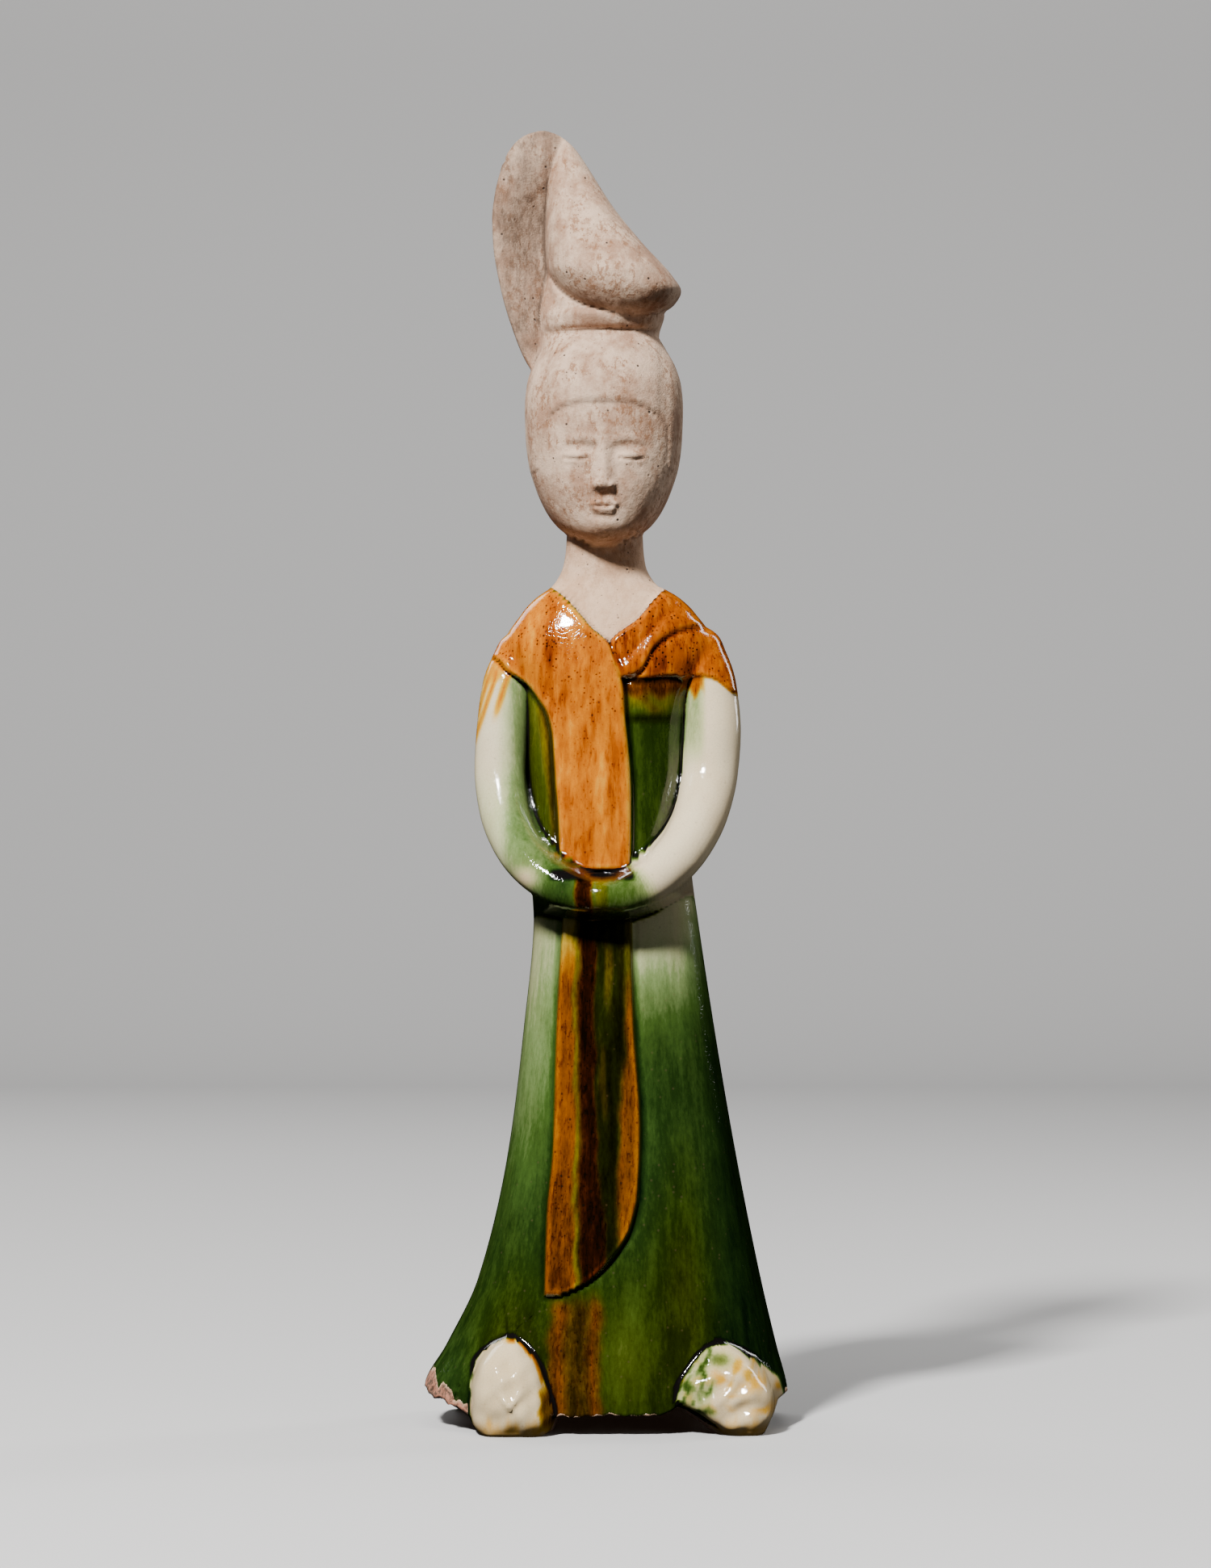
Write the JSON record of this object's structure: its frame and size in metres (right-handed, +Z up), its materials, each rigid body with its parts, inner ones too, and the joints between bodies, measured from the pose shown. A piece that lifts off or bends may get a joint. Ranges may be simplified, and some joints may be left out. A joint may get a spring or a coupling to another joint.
{
  "type": "tang court lady figure",
  "caption": "Standing court lady in lead-glazed earthenware with a tall folded topknot, shawl, joined sleeves and a flared skirt over shoe tips.",
  "frame": {"origin": "on the ground, at the middle of the figure's footprint box", "axes": "+Z up, the figure's height; the lady faces -Y; +X is the viewer's right"},
  "size_m": [0.1164, 0.097, 0.415],
  "materials": {
    "glazed_earthenware": "running amber, green and cream lead glaze over buff earthenware, with the head, topknot and neck left as bare fired clay"
  },
  "bodies": {
    "root": {"court_lady_figure": "glazed_earthenware"}
  },
  "joints": []
}
